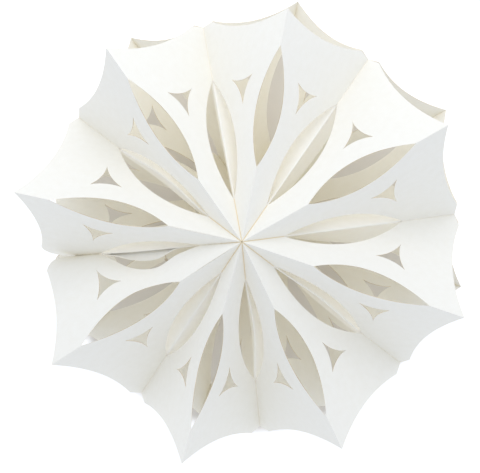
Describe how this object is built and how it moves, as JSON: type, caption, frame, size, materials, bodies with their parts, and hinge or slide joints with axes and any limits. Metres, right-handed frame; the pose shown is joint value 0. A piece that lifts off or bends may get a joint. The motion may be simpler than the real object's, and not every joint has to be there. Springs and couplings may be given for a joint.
{
  "type": "folding paper star ball",
  "caption": "Die-cut card star ball whose folded petals open like a fan round one axis and are tied at a seam.",
  "frame": {"origin": "middle of the axis that every fold runs to, halfway between the front and back points", "axes": "+Z along the star's axis towards the front point, +X to the right and +Y up as the front is seen, the seam near -X"},
  "size_m": [0.289, 0.2925, 0.1872],
  "materials": {
    "card": "matte",
    "tie_wire": "satin"
  },
  "bodies": {
    "wall_0": {"petal_1_right_wall": "card", "seam_tie": "tie_wire"},
    "wall_1": {"petal_1_left_wall": "card", "petal_2_right_wall": "card"},
    "wall_2": {"petal_2_left_wall": "card", "petal_3_right_wall": "card"},
    "wall_3": {"petal_3_left_wall": "card", "petal_4_right_wall": "card"},
    "wall_4": {"petal_4_left_wall": "card", "petal_5_right_wall": "card"},
    "wall_5": {"petal_5_left_wall": "card", "petal_6_right_wall": "card"},
    "wall_6": {"petal_6_left_wall": "card", "petal_7_right_wall": "card"},
    "wall_7": {"petal_7_left_wall": "card", "petal_8_right_wall": "card"},
    "wall_8": {"petal_8_left_wall": "card"},
    "petal_1_front_right": {"petal_1_front_right_panel": "card"},
    "petal_1_back_right": {"petal_1_back_right_panel": "card"},
    "petal_1_front_left": {"petal_1_front_left_panel": "card"},
    "petal_1_back_left": {"petal_1_back_left_panel": "card"},
    "petal_2_front_right": {"petal_2_front_right_panel": "card"},
    "petal_2_back_right": {"petal_2_back_right_panel": "card"},
    "petal_2_front_left": {"petal_2_front_left_panel": "card"},
    "petal_2_back_left": {"petal_2_back_left_panel": "card"},
    "petal_3_front_right": {"petal_3_front_right_panel": "card"},
    "petal_3_back_right": {"petal_3_back_right_panel": "card"},
    "petal_3_front_left": {"petal_3_front_left_panel": "card"},
    "petal_3_back_left": {"petal_3_back_left_panel": "card"},
    "petal_4_front_right": {"petal_4_front_right_panel": "card"},
    "petal_4_back_right": {"petal_4_back_right_panel": "card"},
    "petal_4_front_left": {"petal_4_front_left_panel": "card"},
    "petal_4_back_left": {"petal_4_back_left_panel": "card"},
    "petal_5_front_right": {"petal_5_front_right_panel": "card"},
    "petal_5_back_right": {"petal_5_back_right_panel": "card"},
    "petal_5_front_left": {"petal_5_front_left_panel": "card"},
    "petal_5_back_left": {"petal_5_back_left_panel": "card"},
    "petal_6_front_right": {"petal_6_front_right_panel": "card"},
    "petal_6_back_right": {"petal_6_back_right_panel": "card"},
    "petal_6_front_left": {"petal_6_front_left_panel": "card"},
    "petal_6_back_left": {"petal_6_back_left_panel": "card"},
    "petal_7_front_right": {"petal_7_front_right_panel": "card"},
    "petal_7_back_right": {"petal_7_back_right_panel": "card"},
    "petal_7_front_left": {"petal_7_front_left_panel": "card"},
    "petal_7_back_left": {"petal_7_back_left_panel": "card"},
    "petal_8_front_right": {"petal_8_front_right_panel": "card"},
    "petal_8_back_right": {"petal_8_back_right_panel": "card"},
    "petal_8_front_left": {"petal_8_front_left_panel": "card"},
    "petal_8_back_left": {"petal_8_back_left_panel": "card"}
  },
  "joints": [
    {"name": "petal_1_opening", "type": "hinge", "parent": "wall_1", "child": "wall_0", "pos_m": [0, 0, 0], "axis": [0, 0, 1], "range_deg": [0, 42.61]},
    {"name": "petal_2_opening", "type": "hinge", "parent": "wall_2", "child": "wall_1", "pos_m": [0, 0, 0], "axis": [0, 0, 1], "range_deg": [0, 31.51]},
    {"name": "petal_3_opening", "type": "hinge", "parent": "wall_3", "child": "wall_2", "pos_m": [0, 0, 0], "axis": [0, 0, 1], "range_deg": [0, 41.01]},
    {"name": "petal_4_opening", "type": "hinge", "parent": "wall_4", "child": "wall_3", "pos_m": [0, 0, 0], "axis": [0, 0, 1], "range_deg": [0, 42.01]},
    {"name": "petal_5_opening", "type": "hinge", "parent": "wall_4", "child": "wall_5", "pos_m": [0, 0, 0], "axis": [0, 0, -1], "range_deg": [0, 47.5]},
    {"name": "petal_6_opening", "type": "hinge", "parent": "wall_5", "child": "wall_6", "pos_m": [0, 0, 0], "axis": [0, 0, -1], "range_deg": [0, 44.51]},
    {"name": "petal_7_opening", "type": "hinge", "parent": "wall_6", "child": "wall_7", "pos_m": [0, 0, 0], "axis": [0, 0, -1], "range_deg": [0, 40.51]},
    {"name": "petal_8_opening", "type": "hinge", "parent": "wall_7", "child": "wall_8", "pos_m": [0, 0, 0], "axis": [0, 0, -1], "range_deg": [0, 37.51]},
    {"name": "petal_1_front_right_fold", "type": "hinge", "parent": "wall_0", "child": "petal_1_front_right", "pos_m": [0.00002, -0.00012, 0.095], "axis": [-0.8052, -0.1485, -0.5741], "range_deg": [0, 42.52]},
    {"name": "petal_1_back_right_fold", "type": "hinge", "parent": "wall_0", "child": "petal_1_back_right", "pos_m": [0.00002, -0.00012, -0.095], "axis": [0.8052, 0.1485, -0.5741], "range_deg": [0, 42.52]},
    {"name": "petal_1_front_left_fold", "type": "hinge", "parent": "wall_1", "child": "petal_1_front_left", "pos_m": [-0.0001, 0.00007, 0.095], "axis": [0.4454, 0.6871, 0.5741], "range_deg": [0, 42.52]},
    {"name": "petal_1_back_left_fold", "type": "hinge", "parent": "wall_1", "child": "petal_1_back_left", "pos_m": [-0.0001, 0.00007, -0.095], "axis": [-0.4454, -0.6871, 0.5741], "range_deg": [0, 42.52]},
    {"name": "petal_2_front_right_fold", "type": "hinge", "parent": "wall_1", "child": "petal_2_front_right", "pos_m": [0.0001, -0.00007, 0.095], "axis": [-0.4454, -0.6871, -0.5741], "range_deg": [0, 31.4]},
    {"name": "petal_2_back_right_fold", "type": "hinge", "parent": "wall_1", "child": "petal_2_back_right", "pos_m": [0.0001, -0.00007, -0.095], "axis": [0.4454, 0.6871, -0.5741], "range_deg": [0, 31.4]},
    {"name": "petal_2_front_left_fold", "type": "hinge", "parent": "wall_2", "child": "petal_2_front_left", "pos_m": [-0.00012, -0.00001, 0.095], "axis": [-0.0364, 0.818, 0.5741], "range_deg": [0, 31.4]},
    {"name": "petal_2_back_left_fold", "type": "hinge", "parent": "wall_2", "child": "petal_2_back_left", "pos_m": [-0.00012, -0.00001, -0.095], "axis": [0.0364, -0.818, 0.5741], "range_deg": [0, 31.4]},
    {"name": "petal_3_front_right_fold", "type": "hinge", "parent": "wall_2", "child": "petal_3_front_right", "pos_m": [0.00012, 0.00001, 0.095], "axis": [0.0364, -0.818, -0.5741], "range_deg": [0, 40.86]},
    {"name": "petal_3_back_right_fold", "type": "hinge", "parent": "wall_2", "child": "petal_3_back_right", "pos_m": [0.00012, 0.00001, -0.095], "axis": [-0.0364, 0.818, -0.5741], "range_deg": [0, 40.86]},
    {"name": "petal_3_front_left_fold", "type": "hinge", "parent": "wall_3", "child": "petal_3_front_left", "pos_m": [-0.00008, -0.00009, 0.095], "axis": [-0.6042, 0.5527, 0.5741], "range_deg": [0, 40.86]},
    {"name": "petal_3_back_left_fold", "type": "hinge", "parent": "wall_3", "child": "petal_3_back_left", "pos_m": [-0.00008, -0.00009, -0.095], "axis": [0.6042, -0.5527, 0.5741], "range_deg": [0, 40.86]},
    {"name": "petal_4_front_right_fold", "type": "hinge", "parent": "wall_3", "child": "petal_4_front_right", "pos_m": [0.00008, 0.00009, 0.095], "axis": [0.6042, -0.5527, -0.5741], "range_deg": [0, 41.9]},
    {"name": "petal_4_back_right_fold", "type": "hinge", "parent": "wall_3", "child": "petal_4_back_right", "pos_m": [0.00008, 0.00009, -0.095], "axis": [-0.6042, 0.5527, -0.5741], "range_deg": [0, 41.9]},
    {"name": "petal_4_front_left_fold", "type": "hinge", "parent": "wall_4", "child": "petal_4_front_left", "pos_m": [0.00001, -0.00012, 0.095], "axis": [-0.8172, -0.0507, 0.5741], "range_deg": [0, 41.9]},
    {"name": "petal_4_back_left_fold", "type": "hinge", "parent": "wall_4", "child": "petal_4_back_left", "pos_m": [0.00001, -0.00012, -0.095], "axis": [0.8172, 0.0507, 0.5741], "range_deg": [0, 41.9]},
    {"name": "petal_5_front_right_fold", "type": "hinge", "parent": "wall_4", "child": "petal_5_front_right", "pos_m": [-0.00001, 0.00012, 0.095], "axis": [0.8172, 0.0507, -0.5741], "range_deg": [0, 47.77]},
    {"name": "petal_5_back_right_fold", "type": "hinge", "parent": "wall_4", "child": "petal_5_back_right", "pos_m": [-0.00001, 0.00012, -0.095], "axis": [-0.8172, -0.0507, -0.5741], "range_deg": [0, 47.77]},
    {"name": "petal_5_front_left_fold", "type": "hinge", "parent": "wall_5", "child": "petal_5_front_left", "pos_m": [0.0001, -0.00007, 0.095], "axis": [-0.4691, -0.6711, 0.5741], "range_deg": [0, 47.77]},
    {"name": "petal_5_back_left_fold", "type": "hinge", "parent": "wall_5", "child": "petal_5_back_left", "pos_m": [0.0001, -0.00007, -0.095], "axis": [0.4691, 0.6711, 0.5741], "range_deg": [0, 47.77]},
    {"name": "petal_6_front_right_fold", "type": "hinge", "parent": "wall_5", "child": "petal_6_front_right", "pos_m": [-0.0001, 0.00007, 0.095], "axis": [0.4691, 0.6711, -0.5741], "range_deg": [0, 44.53]},
    {"name": "petal_6_back_right_fold", "type": "hinge", "parent": "wall_5", "child": "petal_6_back_right", "pos_m": [-0.0001, 0.00007, -0.095], "axis": [-0.4691, -0.6711, -0.5741], "range_deg": [0, 44.53]},
    {"name": "petal_6_front_left_fold", "type": "hinge", "parent": "wall_6", "child": "petal_6_front_left", "pos_m": [0.00012, 0.00003, 0.095], "axis": [0.1918, -0.796, 0.5741], "range_deg": [0, 44.53]},
    {"name": "petal_6_back_left_fold", "type": "hinge", "parent": "wall_6", "child": "petal_6_back_left", "pos_m": [0.00012, 0.00003, -0.095], "axis": [-0.1918, 0.796, 0.5741], "range_deg": [0, 44.53]},
    {"name": "petal_7_front_right_fold", "type": "hinge", "parent": "wall_6", "child": "petal_7_front_right", "pos_m": [-0.00012, -0.00003, 0.095], "axis": [-0.1918, 0.796, -0.5741], "range_deg": [0, 40.35]},
    {"name": "petal_7_back_right_fold", "type": "hinge", "parent": "wall_6", "child": "petal_7_back_right", "pos_m": [-0.00012, -0.00003, -0.095], "axis": [0.1918, -0.796, -0.5741], "range_deg": [0, 40.35]},
    {"name": "petal_7_front_left_fold", "type": "hinge", "parent": "wall_7", "child": "petal_7_front_left", "pos_m": [0.00007, 0.00011, 0.095], "axis": [0.6948, -0.4333, 0.5741], "range_deg": [0, 40.35]},
    {"name": "petal_7_back_left_fold", "type": "hinge", "parent": "wall_7", "child": "petal_7_back_left", "pos_m": [0.00007, 0.00011, -0.095], "axis": [-0.6948, 0.4333, 0.5741], "range_deg": [0, 40.35]},
    {"name": "petal_8_front_right_fold", "type": "hinge", "parent": "wall_7", "child": "petal_8_front_right", "pos_m": [-0.00007, -0.00011, 0.095], "axis": [-0.6948, 0.4333, -0.5741], "range_deg": [0, 37.3]},
    {"name": "petal_8_back_right_fold", "type": "hinge", "parent": "wall_7", "child": "petal_8_back_right", "pos_m": [-0.00007, -0.00011, -0.095], "axis": [0.6948, -0.4333, -0.5741], "range_deg": [0, 37.3]},
    {"name": "petal_8_front_left_fold", "type": "hinge", "parent": "wall_8", "child": "petal_8_front_left", "pos_m": [-0.00002, 0.00012, 0.095], "axis": [0.8075, 0.1358, 0.5741], "range_deg": [0, 37.3]},
    {"name": "petal_8_back_left_fold", "type": "hinge", "parent": "wall_8", "child": "petal_8_back_left", "pos_m": [-0.00002, 0.00012, -0.095], "axis": [-0.8075, -0.1358, 0.5741], "range_deg": [0, 37.3]}
  ],
  "couplings": [
    {"joint": "petal_1_opening", "follows": "petal_5_opening", "ratio": 0.89684},
    {"joint": "petal_2_opening", "follows": "petal_5_opening", "ratio": 0.66316},
    {"joint": "petal_3_opening", "follows": "petal_5_opening", "ratio": 0.86316},
    {"joint": "petal_4_opening", "follows": "petal_5_opening", "ratio": 0.88421},
    {"joint": "petal_6_opening", "follows": "petal_5_opening", "ratio": 0.93684},
    {"joint": "petal_7_opening", "follows": "petal_5_opening", "ratio": 0.85263},
    {"joint": "petal_8_opening", "follows": "petal_5_opening", "ratio": 0.78947},
    {"joint": "petal_1_front_right_fold", "follows": "petal_5_opening", "ratio": 0.89502},
    {"joint": "petal_1_back_right_fold", "follows": "petal_5_opening", "ratio": 0.89502},
    {"joint": "petal_1_front_left_fold", "follows": "petal_5_opening", "ratio": 0.89502},
    {"joint": "petal_1_back_left_fold", "follows": "petal_5_opening", "ratio": 0.89502},
    {"joint": "petal_2_front_right_fold", "follows": "petal_5_opening", "ratio": 0.66075},
    {"joint": "petal_2_back_right_fold", "follows": "petal_5_opening", "ratio": 0.66075},
    {"joint": "petal_2_front_left_fold", "follows": "petal_5_opening", "ratio": 0.66075},
    {"joint": "petal_2_back_left_fold", "follows": "petal_5_opening", "ratio": 0.66075},
    {"joint": "petal_3_front_right_fold", "follows": "petal_5_opening", "ratio": 0.86002},
    {"joint": "petal_3_back_right_fold", "follows": "petal_5_opening", "ratio": 0.86002},
    {"joint": "petal_3_front_left_fold", "follows": "petal_5_opening", "ratio": 0.86002},
    {"joint": "petal_3_back_left_fold", "follows": "petal_5_opening", "ratio": 0.86002},
    {"joint": "petal_4_front_right_fold", "follows": "petal_5_opening", "ratio": 0.88184},
    {"joint": "petal_4_back_right_fold", "follows": "petal_5_opening", "ratio": 0.88184},
    {"joint": "petal_4_front_left_fold", "follows": "petal_5_opening", "ratio": 0.88184},
    {"joint": "petal_4_back_left_fold", "follows": "petal_5_opening", "ratio": 0.88184},
    {"joint": "petal_5_front_right_fold", "follows": "petal_5_opening", "ratio": 1.0054},
    {"joint": "petal_5_back_right_fold", "follows": "petal_5_opening", "ratio": 1.0054},
    {"joint": "petal_5_front_left_fold", "follows": "petal_5_opening", "ratio": 1.0054},
    {"joint": "petal_5_back_left_fold", "follows": "petal_5_opening", "ratio": 1.0054},
    {"joint": "petal_6_front_right_fold", "follows": "petal_5_opening", "ratio": 0.93723},
    {"joint": "petal_6_back_right_fold", "follows": "petal_5_opening", "ratio": 0.93723},
    {"joint": "petal_6_front_left_fold", "follows": "petal_5_opening", "ratio": 0.93723},
    {"joint": "petal_6_back_left_fold", "follows": "petal_5_opening", "ratio": 0.93723},
    {"joint": "petal_7_front_right_fold", "follows": "petal_5_opening", "ratio": 0.84918},
    {"joint": "petal_7_back_right_fold", "follows": "petal_5_opening", "ratio": 0.84918},
    {"joint": "petal_7_front_left_fold", "follows": "petal_5_opening", "ratio": 0.84918},
    {"joint": "petal_7_back_left_fold", "follows": "petal_5_opening", "ratio": 0.84918},
    {"joint": "petal_8_front_right_fold", "follows": "petal_5_opening", "ratio": 0.78501},
    {"joint": "petal_8_back_right_fold", "follows": "petal_5_opening", "ratio": 0.78501},
    {"joint": "petal_8_front_left_fold", "follows": "petal_5_opening", "ratio": 0.78501},
    {"joint": "petal_8_back_left_fold", "follows": "petal_5_opening", "ratio": 0.78501}
  ]
}
